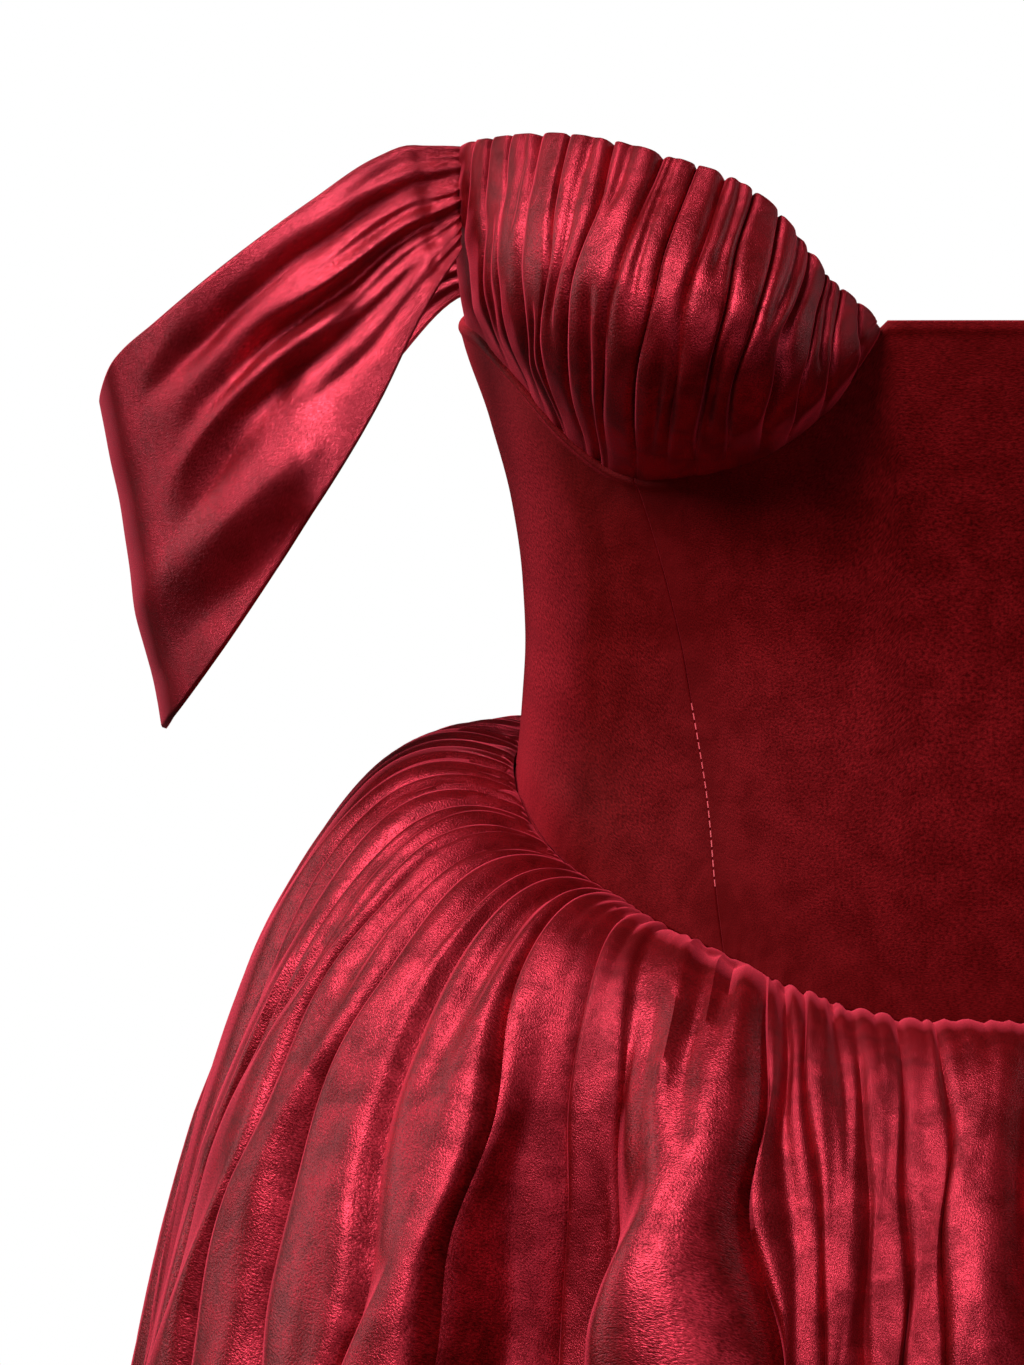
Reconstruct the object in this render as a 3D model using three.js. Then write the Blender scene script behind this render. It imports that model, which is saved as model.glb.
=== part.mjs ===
// Off-shoulder velvet dress: a fitted bodice with gathered cups and draped sleeves, a basque waist seam
// with a gathered peplum, and a straight midi skirt under it. It has the hollow form that it is worn in.
// Millimetres, +Z up, the front faces -Y, +X is the wearer's left. The origin is the centre of the waist.
import * as THREE from 'three';

// Cloth and seams
const BODICE_WALL = 2.2; // velvet, lining and boning
const CUP_WALL = 2.0;
const SLEEVE_WALL = 1.6;
const PEPLUM_WALL = 1.6;
const SKIRT_WALL = 1.8;
const SEAM_GAP = 0.3;
const EDGE = 0.002; // a share of a piece, left so that slopes can be taken at its edges

// Heights
const NECKLINE_Z = 104;
const HEM_Z = -720;

// Places round the body are angles in degrees from centre front, positive to the wearer's left
const SIDE = 90;
const CENTRE_BACK = 180;
const PRINCESS_NODE = 16; // the half gather of the cup where the princess seam meets it
const PRINCESS_AT_WAIST_SEAM = 27;
const NECK_CORNER = 8.2;
const CUP_INNER = 8.8;
const CUP_OUTER = 86;
const SQUARENESS = 2.2; // the exponent of the body's rings, 2 is an ellipse

const ZIP = { width: 22, thickness: 1.2, top: 96, bottom: -140, rows: 10, inside: 1.4 };

// The body's rings: half the width, and how far the front and back lie from the side plane
const figure = [
  { z: -720, halfWidth: 158, front: 93, back: 98 },
  { z: -560, halfWidth: 166, front: 97, back: 106 },
  { z: -420, halfWidth: 177, front: 103, back: 117 },
  { z: -300, halfWidth: 186, front: 111, back: 130 },
  { z: -200, halfWidth: 189, front: 118, back: 138 },
  { z: -130, halfWidth: 175, front: 115, back: 122 },
  { z: -90, halfWidth: 163, front: 110, back: 108 },
  { z: -48, halfWidth: 150.5, front: 103, back: 92 },
  { z: -20, halfWidth: 147.4, front: 98, back: 84 },
  { z: 0, halfWidth: 146.2, front: 96, back: 82 },
  { z: 20, halfWidth: 147.2, front: 96, back: 83 },
  { z: 48, halfWidth: 151, front: 98, back: 86 },
  { z: 75, halfWidth: 158.3, front: 100, back: 90 },
  { z: 110, halfWidth: 169, front: 101, back: 92 },
  { z: 180, halfWidth: 172, front: 92, back: 86 },
];

// Height of the waist seam, which dips to a basque point in front
const waistSeam = [
  { angle: 0, z: -127 },
  { angle: 6, z: -125.5 },
  { angle: 12, z: -121.5 },
  { angle: 18, z: -115.5 },
  { angle: 26, z: -105 },
  { angle: 35, z: -95.5 },
  { angle: 45, z: -85 },
  { angle: 55, z: -75.5 },
  { angle: 65, z: -65.5 },
  { angle: 76, z: -54 },
  { angle: 88, z: -43.5 },
  { angle: 102, z: -36 },
  { angle: 130, z: -31.5 },
  { angle: 180, z: -29.5 },
];

// Height of the bodice's top edge: the neckline, the dip under each cup, the underarm and the back
const topEdge = [
  { angle: 0, z: NECKLINE_Z },
  { angle: NECK_CORNER, z: NECKLINE_Z },
  { angle: 9.5, z: 98.5 },
  { angle: 12.6, z: 85 },
  { angle: 15.7, z: 75.5 },
  { angle: 21.7, z: 64.1 },
  { angle: 27.2, z: 58.5 },
  { angle: 34.5, z: 54.6 },
  { angle: 42, z: 53.4 },
  { angle: 49.3, z: 57.3 },
  { angle: 58.1, z: 69.7 },
  { angle: 67.8, z: 90.1 },
  { angle: 77.7, z: 104.5 },
  { angle: 90, z: 109 },
  { angle: 102, z: 114 },
  { angle: 113, z: 130 },
  { angle: 122, z: 146 },
  { angle: 130, z: 146 },
  { angle: 145, z: 124 },
  { angle: 162, z: 106 },
  { angle: 180, z: 101 },
];

// The cup's free top edge, from the neckline to the front of the armhole, for the wearer's left cup
const cupTop = [
  { share: 0, x: 33, y: -103, z: 105 },
  { share: 0.058, x: 40, y: -107, z: 110.5 },
  { share: 0.131, x: 49, y: -110, z: 117 },
  { share: 0.231, x: 58.5, y: -113, z: 129.5 },
  { share: 0.348, x: 70.5, y: -115, z: 142.5 },
  { share: 0.43, x: 81.5, y: -115, z: 149 },
  { share: 0.547, x: 99.5, y: -113, z: 155.5 },
  { share: 0.697, x: 122, y: -105, z: 162 },
  { share: 0.833, x: 143, y: -92, z: 165 },
  { share: 0.957, x: 161.5, y: -70, z: 164.5 },
  { share: 1, x: 168, y: -58, z: 163 },
];

// How far the cup stands out of the line from its seam to its top edge
const cupFullness = [
  { share: 0, out: 1 },
  { share: 0.12, out: 16 },
  { share: 0.3, out: 38 },
  { share: 0.5, out: 47 },
  { share: 0.7, out: 40 },
  { share: 0.88, out: 17 },
  { share: 1, out: 4 },
];

const CUP = {
  rise: 0.9, // under 1 its fullest place lies below the middle
  roundness: 0.85,
  turnedOut: 0.28, // how far its outer side faces sideways
  foldRoundness: 0.8,
  seamPuff: 0.25, // the share of a gather's depth that is left at the seam
  sunk: 0.4, // behind the bodice's edge
  rows: [0, 0.12, 0.34, 0.6, 0.84, 1],
};

// Creases between the cup's gathers, by their places along the seam and along the top edge
const cupCreases = [
  { seam: 0, top: 0, depth: 1.2 },
  { seam: 0.09, top: 0.045, depth: 2.2 },
  { seam: 0.17, top: 0.09, depth: 3 },
  { seam: 0.235, top: 0.14, depth: 3.4 },
  { seam: 0.285, top: 0.2, depth: 5 },
  { seam: 0.345, top: 0.295, depth: 5 },
  { seam: 0.395, top: 0.365, depth: 4.4 },
  { seam: 0.445, top: 0.43, depth: 5 },
  { seam: 0.5, top: 0.49, depth: 3.6 },
  { seam: 0.555, top: 0.56, depth: 5 },
  { seam: 0.605, top: 0.665, depth: 4.4 },
  { seam: 0.65, top: 0.755, depth: 4 },
  { seam: 0.7, top: 0.82, depth: 3.6 },
  { seam: 0.75, top: 0.875, depth: 3.4 },
  { seam: 0.81, top: 0.92, depth: 3.2 },
  { seam: 0.88, top: 0.96, depth: 2.8 },
  { seam: 1, top: 1, depth: 1.6 },
];

// The sleeve's two free edges, from the cup over the outside of the arm and on behind it to the back
const sleeveFrontTop = [
  { share: 0, x: 169.6, z: 163.5 },
  { share: 0.084, x: 183, z: 164 },
  { share: 0.167, x: 195, z: 160 },
  { share: 0.338, x: 217, z: 145.5 },
  { share: 0.568, x: 245.5, z: 125 },
  { share: 0.776, x: 270.5, z: 105.5 },
  { share: 0.902, x: 285, z: 93.5 },
  { share: 1, x: 291, z: 82 },
];
const sleeveFrontLow = [
  { share: 0, x: 170, z: 129 },
  { share: 0.135, x: 181, z: 105.5 },
  { share: 0.294, x: 194.5, z: 78 },
  { share: 0.459, x: 210.5, z: 51 },
  { share: 0.628, x: 228.5, z: 24.5 },
  { share: 0.8, x: 247, z: -2 },
  { share: 0.932, x: 262, z: -21.5 },
  { share: 1, x: 270, z: -30.5 },
];
const sleeveBackTop = [
  { share: 0, x: 142, z: 143 },
  { share: 0.14, x: 165, z: 152 },
  { share: 0.34, x: 203, z: 147 },
  { share: 0.56, x: 237, z: 130 },
  { share: 0.78, x: 268, z: 107 },
  { share: 0.9, x: 284, z: 94 },
  { share: 1, x: 291, z: 82 },
];
const sleeveBackLow = [
  { share: 0, x: 142, z: 113 },
  { share: 0.14, x: 163, z: 121 },
  { share: 0.32, x: 190, z: 98 },
  { share: 0.5, x: 212, z: 62 },
  { share: 0.7, x: 236, z: 25 },
  { share: 0.88, x: 258, z: -8 },
  { share: 1, x: 270, z: -30.5 },
];
const SLEEVE = {
  frontY: -60, // where it leaves the cup, its outermost ridge, and where it meets the back
  ridgeY: 2,
  backY: 57.4,
  frontPuff: 14,
  backPuff: 10,
  frontColumns: 14,
  backColumns: 11,
  rows: 12,
  foldWidth: 0.1, // a share of the sleeve's width
  foldAtGather: 0.22, // the share of a fold's depth that is left at the gathers, and how soon it grows
  foldGrowth: 2.4,
};

// Folds out of the sleeve's gathers: their places across the sleeve at the gathers and at its outer side
const sleeveFolds = [
  { gather: 0.18, outer: 0.13, depth: 5, reach: 1 },
  { gather: 0.44, outer: 0.22, depth: 4, reach: 0.62 },
  { gather: 0.66, outer: 0.3, depth: 6.5, reach: 0.85 },
  { gather: 0.84, outer: 0.48, depth: 5, reach: 0.8 },
  { gather: 0.95, outer: 0.85, depth: 2.5, reach: 0.5 },
];

// How steeply the peplum falls, in degrees above the horizon, along its cloth from the waist seam
const peplumFall = [
  { along: 0, sideSlope: 24, frontSlope: 14 },
  { along: 20, sideSlope: 0, frontSlope: -16 },
  { along: 36, sideSlope: -27, frontSlope: -34 },
  { along: 55, sideSlope: -50, frontSlope: -50 },
  { along: 90, sideSlope: -63, frontSlope: -64 },
  { along: 140, sideSlope: -73, frontSlope: -72 },
  { along: 300, sideSlope: -80, frontSlope: -78 },
];
const PEPLUM = {
  frontLength: 196, // the cloth's length from seam to hem
  sideLength: 282,
  backLength: 278,
  waistPuff: 1.2, // how far a fold stands out at the seam, and at the hem as a share of its width
  hemPuff: 0.46,
  off: 0.35, // the waist seam
  waistRadius: 150, // the folds' widths are taken on rings about this size at the seam
  crownRoundness: 0.75,
  seamShare: 0.012, // of a fold, left free beside the side and back seams
  perFold: 3,
  rows: [0, 0.04, 0.1, 0.18, 0.3, 0.5, 0.74, 1],
};

// Valleys between the peplum's folds in one quarter, from centre front or back to the side: their angles
// at the seam and at the hem. Those in front fall straight, and those further out sweep round to the side
const peplumValleys = [
  { seam: 4, hem: 2.5, depth: 0.9 },
  { seam: 7.5, hem: 6, depth: 1 },
  { seam: 11.6, hem: 9, depth: 0.9 },
  { seam: 17, hem: 12.5, depth: 1 },
  { seam: 21.4, hem: 16, depth: 0.9 },
  { seam: 34.5, hem: 30.5, depth: 0.6 },
  { seam: 38, hem: 37, depth: 0.6 },
  { seam: 43, hem: 45, depth: 1 },
  { seam: 48, hem: 53.5, depth: 0.9 },
  { seam: 54, hem: 61.5, depth: 1 },
  { seam: 60, hem: 69, depth: 1 },
  { seam: 69, hem: 76.5, depth: 1 },
  { seam: 79, hem: 83.3, depth: 0.9 },
];

const lerp = THREE.MathUtils.lerp;
const clamp = THREE.MathUtils.clamp;
const radians = THREE.MathUtils.degToRad;

// A smooth curve through one column of a table, with no overshoot between its rows
function track(rows, key, value) {
  const at = rows.map((row) => row[key]);
  const to = rows.map((row) => row[value]);
  const steps = at.slice(1).map((x, i) => (to[i + 1] - to[i]) / (x - at[i]));
  const slopes = at.map((_, i) => {
    if (i === 0) return steps[0];
    if (i === steps.length) return steps[i - 1];
    const [before, after] = [steps[i - 1], steps[i]];
    return before * after <= 0 ? 0 : (2 * before * after) / (before + after);
  });
  return (x) => {
    const i = clamp(at.findIndex((a) => a > x) - 1, 0, steps.length - 1);
    const last = x >= at[at.length - 1] ? steps.length - 1 : i;
    const width = at[last + 1] - at[last];
    const t = clamp((x - at[last]) / width, 0, 1);
    const [t2, t3] = [t * t, t * t * t];
    return (2 * t3 - 3 * t2 + 1) * to[last] + (t3 - 2 * t2 + t) * width * slopes[last]
      + (3 * t2 - 2 * t3) * to[last + 1] + (t3 - t2) * width * slopes[last + 1];
  };
}

const halfWidthAt = track(figure, 'z', 'halfWidth');
const frontAt = track(figure, 'z', 'front');
const backAt = track(figure, 'z', 'back');
const seamHeight = track(waistSeam, 'angle', 'z');
const edgeHeight = track(topEdge, 'angle', 'z');

// A point on the figure's surface at an angle from centre front
function onFigure(angle, z) {
  const s = Math.sin(radians(angle));
  const c = Math.cos(radians(angle));
  const depth = c > 0 ? -frontAt(z) : backAt(z);
  const power = 2 / SQUARENESS;
  return new THREE.Vector3(
    Math.sign(s) * halfWidthAt(z) * Math.abs(s) ** power,
    depth * Math.abs(c) ** power,
    z,
  );
}

function outwardOnFigure(angle, z) {
  const around = onFigure(angle + 0.5, z).sub(onFigure(angle - 0.5, z));
  const up = onFigure(angle, z + 1).sub(onFigure(angle, z - 1));
  return around.cross(up).normalize();
}

function spread(from, to, count) {
  return Array.from({ length: count + 1 }, (_, i) => lerp(from, to, i / count));
}

// A closed wall of cloth: surface(u, v) gives a point of its face and the direction away from the wearer
function wall(surface, us, vs, thickness) {
  const faces = us.map((u) => vs.map((v) => surface(u, v)));
  const columns = us.length;
  const rows = vs.length;
  const half = columns * rows;
  const positions = [];
  for (const depth of [0, thickness]) {
    for (const column of faces) {
      for (const { point, outward } of column) {
        positions.push(...point.clone().addScaledVector(outward, -depth).toArray());
      }
    }
  }
  const quads = [];
  const quad = (a, b, c, d) => quads.push(a, b, c, a, c, d);
  const id = (i, j) => i * rows + j;
  for (let i = 0; i < columns - 1; i++) {
    for (let j = 0; j < rows - 1; j++) {
      const corners = [id(i, j), id(i + 1, j), id(i + 1, j + 1), id(i, j + 1)];
      quad(...corners);
      quad(...corners.reverse().map((corner) => corner + half));
    }
  }
  const edge = (a, b) => quad(b, a, a + half, b + half);
  for (let i = 0; i < columns - 1; i++) {
    edge(id(i, 0), id(i + 1, 0));
    edge(id(i + 1, rows - 1), id(i, rows - 1));
  }
  for (let j = 0; j < rows - 1; j++) {
    edge(id(columns - 1, j), id(columns - 1, j + 1));
    edge(id(0, j + 1), id(0, j));
  }
  // Faces point out when u runs to the wearer's left and v runs up; otherwise the wall is turned round
  let agree = 0;
  for (let i = 0; i < columns - 1; i++) {
    for (let j = 0; j < rows - 1; j++) {
      const { point, outward } = faces[i][j];
      const alongU = faces[i + 1][j].point.clone().sub(point);
      agree += alongU.cross(faces[i][j + 1].point.clone().sub(point)).dot(outward);
    }
  }
  if (agree < 0) {
    for (let i = 0; i < quads.length; i += 3) [quads[i + 1], quads[i + 2]] = [quads[i + 2], quads[i + 1]];
  }
  const geometry = new THREE.BufferGeometry();
  geometry.setAttribute('position', new THREE.Float32BufferAttribute(positions, 3));
  geometry.setIndex(quads);
  geometry.computeVertexNormals();
  return geometry;
}

// Gives a surface its outward direction from its own slopes, turned to agree with a rough direction
function withNormals(pointAt, facing) {
  const step = 1e-3;
  return (u, v) => {
    const alongU = pointAt(u + step, v).sub(pointAt(u - step, v));
    const alongV = pointAt(u, v + step).sub(pointAt(u, v - step));
    const outward = alongU.cross(alongV).normalize();
    if (outward.dot(facing(u, v)) < 0) outward.negate();
    return { point: pointAt(u, v), outward };
  };
}

// A panel that lies on the figure, between two lines of angle and height, less half a seam gap on each seam
function panel(leftAngle, rightAngle, bottomZ, topZ, us, vs, thickness) {
  const surface = (u, v) => {
    const low = lerp(leftAngle.bottom, rightAngle.bottom, u);
    const high = lerp(leftAngle.top, rightAngle.top, u);
    const z = lerp(bottomZ(Math.abs(low)), topZ(Math.abs(high)), v);
    const halfGap = THREE.MathUtils.radToDeg(SEAM_GAP / 2 / frontAt(z));
    const angle = lerp(low, high, v) + halfGap * (1 - 2 * u);
    return { point: onFigure(angle, z), outward: outwardOnFigure(angle, z) };
  };
  return wall(surface, us, vs, thickness);
}

// The cup's seam lies on the bodice's top edge; creases meet it at even steps along it
const cupSeam = (() => {
  const angles = spread(CUP_INNER, CUP_OUTER, 80);
  const points = angles.map((angle) => onFigure(angle, edgeHeight(angle)));
  const lengths = [0];
  for (let i = 1; i < points.length; i++) lengths.push(lengths[i - 1] + points[i].distanceTo(points[i - 1]));
  const rows = angles.map((angle, i) => ({ share: lengths[i] / lengths.at(-1), angle }));
  return track(rows, 'share', 'angle');
})();

// Columns that the bodice shares with the cups above it and the skirt below it, as angles at the top edge
const cupAngles = cupCreases.flatMap(({ seam }, i) => {
  const next = cupCreases[i + 1];
  return next ? [cupSeam(seam), cupSeam((seam + next.seam) / 2)] : [cupSeam(seam)];
});
const PRINCESS_AT_CUP = cupAngles[PRINCESS_NODE];
const centreTop = [...spread(0, NECK_CORNER, 2), ...cupAngles.slice(0, PRINCESS_NODE + 1)];
const centreColumns = [...centreTop.map((angle) => -angle).reverse(), ...centreTop.slice(1)]
  .map((angle) => (angle / PRINCESS_AT_CUP + 1) / 2);
const sideColumns = [...cupAngles.slice(PRINCESS_NODE), SIDE]
  .map((angle) => (angle - PRINCESS_AT_CUP) / (SIDE - PRINCESS_AT_CUP));
const backColumns = spread(0, 1, 12);
const bodiceRows = spread(0, 1, 6);
const skirtRows = [0, 0.38, 0.62, 0.74, 0.84, 0.92, 0.97, 1];
const seamAngles = [
  ...sideColumns.map((u) => -lerp(PRINCESS_AT_WAIST_SEAM, SIDE, u)).reverse(),
  ...centreColumns.slice(1, -1).map((u) => lerp(-PRINCESS_AT_WAIST_SEAM, PRINCESS_AT_WAIST_SEAM, u)),
  ...sideColumns.map((u) => lerp(PRINCESS_AT_WAIST_SEAM, SIDE, u)),
];

const seamBottom = (angle) => seamHeight(angle) + SEAM_GAP / 2;
const seamTop = (angle) => seamHeight(angle) - SEAM_GAP / 2;
const cupSeamTop = (angle) => edgeHeight(angle) - SEAM_GAP / 2;

function centreFront() {
  const edge = { bottom: PRINCESS_AT_WAIST_SEAM, top: PRINCESS_AT_CUP };
  const mirror = { bottom: -edge.bottom, top: -edge.top };
  return panel(mirror, edge, seamBottom, cupSeamTop, centreColumns, bodiceRows, BODICE_WALL);
}

function sideFront() {
  const princess = { bottom: PRINCESS_AT_WAIST_SEAM, top: PRINCESS_AT_CUP };
  const side = { bottom: SIDE, top: SIDE };
  return panel(princess, side, seamBottom, cupSeamTop, sideColumns, bodiceRows, BODICE_WALL);
}

function bodiceBack() {
  const [side, back] = [SIDE, CENTRE_BACK].map((angle) => ({ bottom: angle, top: angle }));
  return panel(side, back, seamBottom, cupSeamTop, backColumns, bodiceRows, BODICE_WALL);
}

const cupTopX = track(cupTop, 'share', 'x');
const cupTopY = track(cupTop, 'share', 'y');
const cupTopZ = track(cupTop, 'share', 'z');
const cupOut = track(cupFullness, 'share', 'out');

const cupBases = cupAngles.map((angle) => {
  const base = onFigure(angle, edgeHeight(angle) + SEAM_GAP / 2);
  return base.addScaledVector(outwardOnFigure(angle, base.z), -CUP.sunk);
});

// u counts gathers: a whole number is a crease. v runs from the seam to the top edge
function cupPoint(u, v) {
  const last = cupCreases.length - 1;
  const lower = clamp(Math.floor(u), 0, last - 1);
  const within = u - lower;
  const [a, b] = [cupCreases[lower], cupCreases[lower + 1]];
  const node = clamp(Math.floor(u * 2), 0, cupBases.length - 2);
  const base = cupBases[node].clone().lerp(cupBases[node + 1], u * 2 - node);
  const topShare = lerp(a.top, b.top, within);
  const top = new THREE.Vector3(cupTopX(topShare), cupTopY(topShare), cupTopZ(topShare));
  const share = lerp(lerp(a.seam, b.seam, within), topShare, v);
  const swell = cupOut(share) * Math.sin(Math.PI * v ** CUP.rise) ** CUP.roundness;
  const forward = new THREE.Vector3(CUP.turnedOut * share, -1, 0).normalize();
  const crown = Math.sin(Math.PI * clamp(within, 0, 1)) ** CUP.foldRoundness;
  const puff = crown * lerp(a.depth, b.depth, within) * lerp(CUP.seamPuff, 1, clamp(v * 4, 0, 1));
  return base.lerp(top, v).addScaledVector(forward, swell + puff);
}

function cup() {
  const folds = cupCreases.length - 1;
  const surface = withNormals(cupPoint, () => new THREE.Vector3(0.3, -1, 0));
  const inside = (u, v) => surface(clamp(u, EDGE, folds - EDGE), clamp(v, EDGE, 1 - EDGE));
  return wall(inside, spread(0, folds, folds * 4), CUP.rows, CUP_WALL);
}

const sleevePath = [sleeveFrontTop, sleeveFrontLow, sleeveBackTop, sleeveBackLow]
  .map((rows) => ({ x: track(rows, 'share', 'x'), z: track(rows, 'share', 'z') }));

// u runs from the cup (0) over the arm's outside (1) to the back bodice (2), v from the top to the low edge
function sleevePoint(u, v) {
  const front = u <= 1;
  const turn = (front ? u : 2 - u) * Math.PI / 2;
  const share = Math.sin(turn);
  const [top, low] = front ? [sleevePath[0], sleevePath[1]] : [sleevePath[2], sleevePath[3]];
  const end = front ? SLEEVE.frontY : SLEEVE.backY;
  const puff = front ? -SLEEVE.frontPuff : SLEEVE.backPuff;
  const y = SLEEVE.ridgeY + (end - SLEEVE.ridgeY) * Math.cos(turn) + puff * Math.sin(2 * turn);
  return new THREE.Vector3(lerp(top.x(share), low.x(share), v), y, lerp(top.z(share), low.z(share), v));
}

function sleeveFoldDepth(u, v) {
  const along = u <= 1 ? u : 2 - u;
  return sleeveFolds.reduce((sum, fold) => {
    const line = lerp(fold.gather, fold.outer, along);
    const grown = clamp(SLEEVE.foldAtGather + SLEEVE.foldGrowth * along, 0, 1);
    const fade = clamp(1 - along / fold.reach, 0, 1) ** 0.7 * grown;
    return sum + fold.depth * fade * Math.exp(-(((v - line) / SLEEVE.foldWidth) ** 2));
  }, 0);
}

function sleeve() {
  const facing = (u) => new THREE.Vector3(Math.sin(Math.PI * u / 2), -Math.cos(Math.PI * u / 2), 0.1);
  const plain = withNormals(sleevePoint, facing);
  const folded = (u, v) => {
    const { point, outward } = plain(clamp(u, EDGE, 2 - EDGE), v);
    return point.addScaledVector(outward, -sleeveFoldDepth(u, v));
  };
  const surface = withNormals(folded, facing);
  const us = [...spread(0, 1, SLEEVE.frontColumns), ...spread(1, 2, SLEEVE.backColumns).slice(1)];
  return wall(surface, us, spread(0, 1, SLEEVE.rows), SLEEVE_WALL);
}

const sideSlope = track(peplumFall, 'along', 'sideSlope');
const frontSlope = track(peplumFall, 'along', 'frontSlope');

function peplumLength(angle) {
  const a = Math.abs(angle);
  const toSide = Math.sin(radians(Math.min(a, SIDE))) ** 1.3;
  const front = lerp(PEPLUM.frontLength, PEPLUM.sideLength, toSide);
  return a <= SIDE ? front : lerp(PEPLUM.sideLength, PEPLUM.backLength, (a - SIDE) / SIDE);
}

// How far out and up the peplum's cloth has come after a length of it
function peplumProfile(angle, along) {
  const aside = Math.sin(radians(Math.min(Math.abs(angle), SIDE))) ** 2;
  const steps = 24;
  let [out, up] = [0, 0];
  for (let i = 0; i < steps; i++) {
    const s = along * (i + 0.5) / steps;
    const slope = radians(lerp(frontSlope(s), sideSlope(s), aside));
    out += Math.cos(slope) * along / steps;
    up += Math.sin(slope) * along / steps;
  }
  return { out, up, slope: radians(lerp(frontSlope(along), sideSlope(along), aside)) };
}

// The valleys all round, from centre back past the wearer's right, front and left to centre back again
const valleys = (() => {
  const quarter = (turn, uneven) => peplumValleys.map(({ seam, hem, depth }, i) => {
    const shift = uneven * Math.sin(2.3 * i + turn(1));
    return { seam: turn(seam + shift), hem: turn(hem + shift), depth };
  });
  const marks = (angle) => ({ seam: angle, hem: angle, depth: 0.8 });
  return [
    marks(-CENTRE_BACK), marks(-SIDE), marks(SIDE), marks(CENTRE_BACK),
    ...quarter((a) => -a, 0), ...quarter((a) => a, 0.9),
    ...quarter((a) => a - CENTRE_BACK, 1.1), ...quarter((a) => CENTRE_BACK - a, 1.1),
  ].sort((p, q) => p.seam - q.seam);
})();

// u counts the peplum's folds from centre back: a whole number is a valley. v runs from the seam to the hem
function peplumPoint(u, v) {
  const lower = clamp(Math.floor(u), 0, valleys.length - 2);
  const within = u - lower;
  const [a, b] = [valleys[lower], valleys[lower + 1]];
  const swept = 1 - (1 - clamp(v, 0, 1)) ** 3;
  const [from, to] = [a, b].map(({ seam, hem }) => lerp(seam, hem, swept));
  const angle = lerp(from, to, within);
  const along = Math.max(v, 0) * peplumLength(angle);
  const start = onFigure(angle, seamHeight(Math.abs(angle)) - SEAM_GAP);
  const { out, up, slope } = peplumProfile(angle, along);
  const away = outwardOnFigure(angle, start.z).setZ(0).normalize();
  const foldWidth = radians(to - from) * (PEPLUM.waistRadius + out);
  const crown = Math.sin(Math.PI * clamp(within, 0, 1)) ** PEPLUM.crownRoundness;
  const depth = lerp(PEPLUM.waistPuff, PEPLUM.hemPuff * foldWidth, clamp(v * 1.6, 0, 1) ** 0.8);
  const puff = crown * depth * lerp(a.depth, b.depth, within);
  start.addScaledVector(away, PEPLUM.off + out + puff * Math.max(0, -Math.sin(slope)));
  start.z += up + puff * Math.cos(slope);
  return start;
}

function peplum(fromAngle, toAngle) {
  const first = valleys.findIndex(({ seam }) => seam === fromAngle);
  const last = valleys.findIndex(({ seam }) => seam === toAngle);
  const facing = (u) => {
    const angle = valleys[Math.round(clamp(u, 0, valleys.length - 1))].seam;
    return outwardOnFigure(angle, -48).add(new THREE.Vector3(0, 0, 1));
  };
  const surface = withNormals(peplumPoint, facing);
  const [low, high] = [first + PEPLUM.seamShare, last - PEPLUM.seamShare];
  const inside = (u, v) => surface(clamp(u, low, high), clamp(v, EDGE, 1));
  return wall(inside, spread(first, last, (last - first) * PEPLUM.perFold), PEPLUM.rows, PEPLUM_WALL);
}

function skirt(fromAngle, toAngle, columns) {
  const [from, to] = [fromAngle, toAngle].map((angle) => ({ bottom: angle, top: angle }));
  return panel(from, to, () => HEM_Z, seamTop, columns, skirtRows, SKIRT_WALL);
}

// The zip's tape, just inside the centre back seam of bodice and skirt
function zipTape() {
  const inset = BODICE_WALL + ZIP.inside;
  const surface = (u, v) => {
    const z = lerp(ZIP.bottom, ZIP.top, v);
    const half = THREE.MathUtils.radToDeg(ZIP.width / 2 / halfWidthAt(z));
    const angle = CENTRE_BACK + lerp(-half, half, u);
    const outward = outwardOnFigure(angle, z);
    return { point: onFigure(angle, z).addScaledVector(outward, -inset), outward };
  };
  return wall(surface, spread(0, 1, 2), spread(0, 1, ZIP.rows), ZIP.thickness);
}

function mirrored(geometry) {
  const copy = geometry.clone();
  copy.applyMatrix4(new THREE.Matrix4().makeScale(-1, 1, 1));
  const index = copy.getIndex();
  for (let i = 0; i < index.count; i += 3) {
    const [b, c] = [index.getX(i + 1), index.getX(i + 2)];
    index.setX(i + 1, c);
    index.setX(i + 2, b);
  }
  copy.computeVertexNormals();
  return copy;
}

const velvet = new THREE.MeshStandardMaterial({ color: 0x7c1218, roughness: 0.75, metalness: 0 });
const tape = new THREE.MeshStandardMaterial({ color: 0x5a0d12, roughness: 0.9, metalness: 0 });

const dress = new THREE.Group();
dress.name = 'dress';

function add(name, geometry, material = velvet) {
  const mesh = new THREE.Mesh(geometry, material);
  mesh.name = name;
  dress.add(mesh);
}

function addPair(name, geometry) {
  add(`${name}_left`, geometry);
  add(`${name}_right`, mirrored(geometry));
}

add('bodice_centre_front', centreFront());
addPair('bodice_side_front', sideFront());
addPair('bodice_back', bodiceBack());
addPair('cup', cup());
addPair('sleeve', sleeve());
add('peplum_front', peplum(-SIDE, SIDE));
add('peplum_back_left', peplum(SIDE, CENTRE_BACK));
add('peplum_back_right', peplum(-CENTRE_BACK, -SIDE));
add('skirt_front', skirt(-SIDE, SIDE, seamAngles.map((angle) => (angle / SIDE + 1) / 2)));
addPair('skirt_back', skirt(SIDE, CENTRE_BACK, backColumns));
add('back_zip', zipTape(), tape);

export default dress;
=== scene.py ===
import math

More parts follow.
